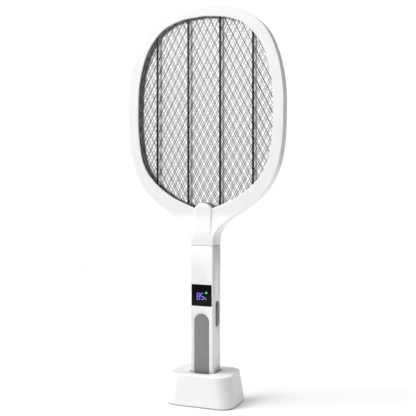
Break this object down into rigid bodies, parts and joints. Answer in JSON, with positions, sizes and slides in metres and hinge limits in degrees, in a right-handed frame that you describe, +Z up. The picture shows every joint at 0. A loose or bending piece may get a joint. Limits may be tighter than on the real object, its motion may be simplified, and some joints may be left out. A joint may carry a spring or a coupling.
{
  "type": "electric fly swatter",
  "caption": "Rechargeable racket-shaped electric fly swatter with metal nets in a ribbed frame, thumb button and charge display, standing upright in its charging dock",
  "frame": {"origin": "On the surface that the dock's feet stand on, at the middle of the dock's footprint and under the racket's axis", "axes": "+Z up along the racket, -Y is the front with the display and the grip pad, +X is the side with the button"},
  "size_m": [0.199, 0.0616, 0.4745],
  "materials": {
    "white_plastic": "satin-gloss moulded ABS, white",
    "black_frame_plastic": "satin black moulded ABS with an olive cast",
    "steel": "bright zinc or nickel plated steel",
    "grip_rubber": "soft-touch grey rubber, matte",
    "display_black": "polished smoked acrylic",
    "button_grey": "fine-textured grey plastic",
    "circuit_board": "green solder mask on glass fibre",
    "brass": "gold-flashed brass",
    "dark_plastic": "dark grey moulded plastic and rubber",
    "battery_wrap": "blue PVC film round a cylindrical cell",
    "amber_winding": "amber tape and lacquer",
    "red_epoxy": "dark red epoxy dip",
    "wire_red": "red silicone insulation",
    "wire_black": "black silicone insulation"
  },
  "bodies": {
    "dock": {"dock_housing": "white_plastic", "dock_bottom_plate": "white_plastic", "dock_charge_board": "circuit_board", "dock_usb_socket": "steel", "pin_barrel_left": "brass", "pin_spring_left": "steel", "pin_barrel_right": "brass", "pin_spring_right": "steel", "dock_screw_1": "steel", "dock_foot_1": "dark_plastic", "dock_screw_2": "steel", "dock_foot_2": "dark_plastic", "dock_screw_3": "steel", "dock_foot_3": "dark_plastic", "dock_screw_4": "steel", "dock_foot_4": "dark_plastic"},
    "charge_pin_left": {"charge_pin_left": "brass"},
    "charge_pin_right": {"charge_pin_right": "brass"},
    "racket": {"head_front_shell": "white_plastic", "head_rear_shell": "white_plastic", "grid_frame_front": "black_frame_plastic", "grid_frame_rear": "black_frame_plastic", "front_net": "steel", "middle_net": "steel", "rear_net": "steel", "head_screw_1": "steel", "head_screw_2": "steel", "head_screw_3": "steel", "head_screw_4": "steel", "head_screw_5": "steel", "head_screw_6": "steel", "handle_front_shell": "white_plastic", "handle_rear_shell": "white_plastic", "handle_end_cap": "white_plastic", "grip_pad": "grip_rubber", "display_window": "display_black", "display_module": "dark_plastic", "trigger_switch": "dark_plastic", "battery_cell": "battery_wrap", "battery_tab_bottom": "steel", "battery_tab_top": "steel", "main_board": "circuit_board", "hv_transformer": "amber_winding", "hv_capacitor": "red_epoxy", "bleed_resistor": "amber_winding", "switching_transistor": "dark_plastic", "hv_wire": "wire_red", "ground_wire_front": "wire_black", "ground_wire_rear": "wire_black", "charge_contact_left": "brass", "charge_contact_right": "brass", "handle_screw_1": "steel", "handle_screw_2": "steel", "handle_screw_3": "steel"},
    "zap_button": {"zap_button": "button_grey"}
  },
  "joints": [
    {"name": "racket_lift", "type": "slide", "parent": "dock", "child": "racket", "axis": [0, 0, 1], "range_m": [0, 0.06]},
    {"name": "zap_button_press", "type": "slide", "parent": "racket", "child": "zap_button", "axis": [-1, 0, 0], "range_m": [0, 0.0015], "stiffness_N_per_m": 400},
    {"name": "charge_pin_left_press", "type": "slide", "parent": "dock", "child": "charge_pin_left", "axis": [0, 0, -1], "range_m": [0, 0.001], "stiffness_N_per_m": 200, "deforming": ["pin_spring_left"]},
    {"name": "charge_pin_right_press", "type": "slide", "parent": "dock", "child": "charge_pin_right", "axis": [0, 0, -1], "range_m": [0, 0.001], "stiffness_N_per_m": 200, "deforming": ["pin_spring_right"]}
  ]
}
